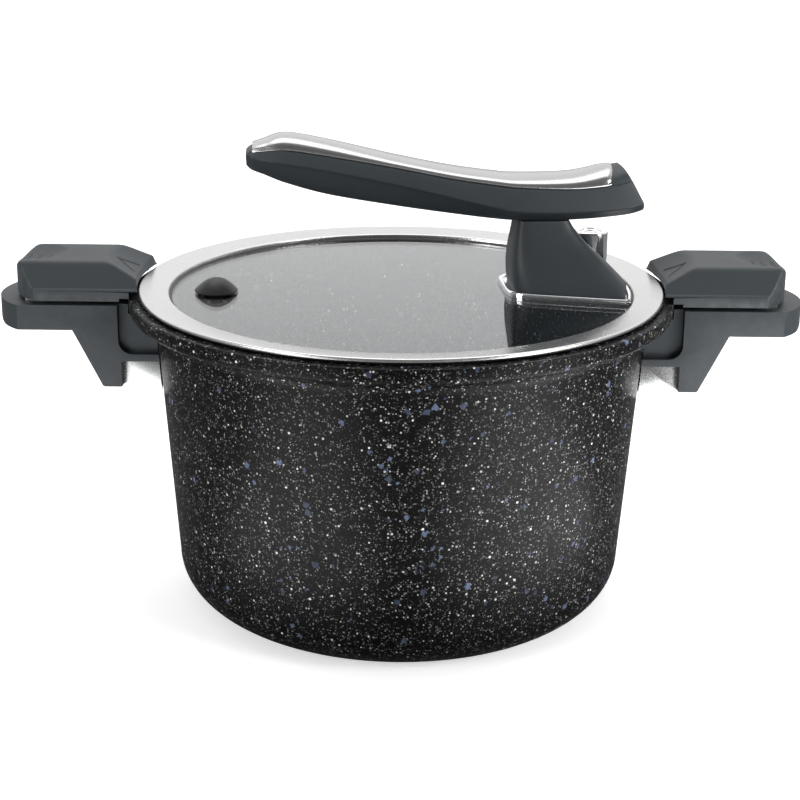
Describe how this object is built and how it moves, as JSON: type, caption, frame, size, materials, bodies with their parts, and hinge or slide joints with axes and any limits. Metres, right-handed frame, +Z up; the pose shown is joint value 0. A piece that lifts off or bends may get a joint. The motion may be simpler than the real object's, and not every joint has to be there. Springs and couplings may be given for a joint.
{
  "type": "stovetop pressure cooker",
  "caption": "Round cast cooking pot with a glass and steel lid, a lever lid handle on a post, a relief valve, a vent plug and sliding lid locks on both side handles.",
  "frame": {"origin": "centre of the flat base, on the surface it stands on", "axes": "+Z up through the lid; side handles along +X and -X; the lid lever's post on the +X side"},
  "size_m": [0.384, 0.259, 0.2244],
  "materials": {
    "handle": "moulded phenolic, fine matte",
    "pot": "black non-stick coating with white and blue-grey speckle",
    "induction": "turned steel",
    "steel": "sheet steel",
    "rim": "bright satin steel",
    "cover": "satin steel, fine grain along the lever",
    "chrome": "polished chrome",
    "glass": "clear tempered glass",
    "silicone": "black silicone",
    "screw": "zinc-plated steel",
    "spring": "spring steel",
    "pin": "turned copper alloy"
  },
  "bodies": {
    "pot": {"pot_body": "pot", "induction_plate": "induction", "left_handle_base": "handle", "left_flame_guard": "steel", "left_handle_screws": "screw", "left_guide_plate": "steel", "left_guide_screws": "screw", "left_detent_ball": "screw", "left_detent_spring": "spring", "right_handle_base": "handle", "right_flame_guard": "steel", "right_handle_screws": "screw", "right_guide_plate": "steel", "right_guide_screws": "screw", "right_detent_ball": "screw", "right_detent_spring": "spring"},
    "left_lock": {"left_lock_slider": "handle", "left_lock_keeper": "steel", "left_keeper_screw": "screw"},
    "right_lock": {"right_lock_slider": "handle", "right_lock_keeper": "steel", "right_keeper_screw": "screw"},
    "lid": {"lid_rim": "rim", "glass_panel": "glass", "lid_gasket": "silicone", "post_bezel": "chrome", "bezel_seal": "silicone", "handle_post": "handle", "clamp_pad": "silicone", "clamp_plate": "steel", "post_screws": "screw", "lever_body": "handle", "lever_cover": "cover", "lever_screws": "screw", "valve_tube": "chrome", "valve_cap": "chrome", "valve_spring": "spring", "valve_nut": "steel", "vent_eyelet": "steel"},
    "valve_pin": {"valve_pin": "pin"},
    "vent_plug": {"vent_plug": "silicone"}
  },
  "joints": [
    {"name": "lid_lift", "type": "slide", "parent": "pot", "child": "lid", "axis": [0, 0, 1], "range_m": [0, 0.12]},
    {"name": "left_lock_slide", "type": "slide", "parent": "pot", "child": "left_lock", "axis": [-1, 0, 0], "range_m": [-0.004, 0.006]},
    {"name": "right_lock_slide", "type": "slide", "parent": "pot", "child": "right_lock", "axis": [1, 0, 0], "range_m": [-0.004, 0.006]},
    {"name": "valve_rise", "type": "slide", "parent": "lid", "child": "valve_pin", "axis": [0, 0, 1], "range_m": [0, 0.003], "stiffness_N_per_m": 150, "springref_m": -0.004, "deforming": ["valve_spring"]},
    {"name": "vent_pull", "type": "slide", "parent": "lid", "child": "vent_plug", "axis": [0, 0, 1], "range_m": [0, 0.003]}
  ]
}
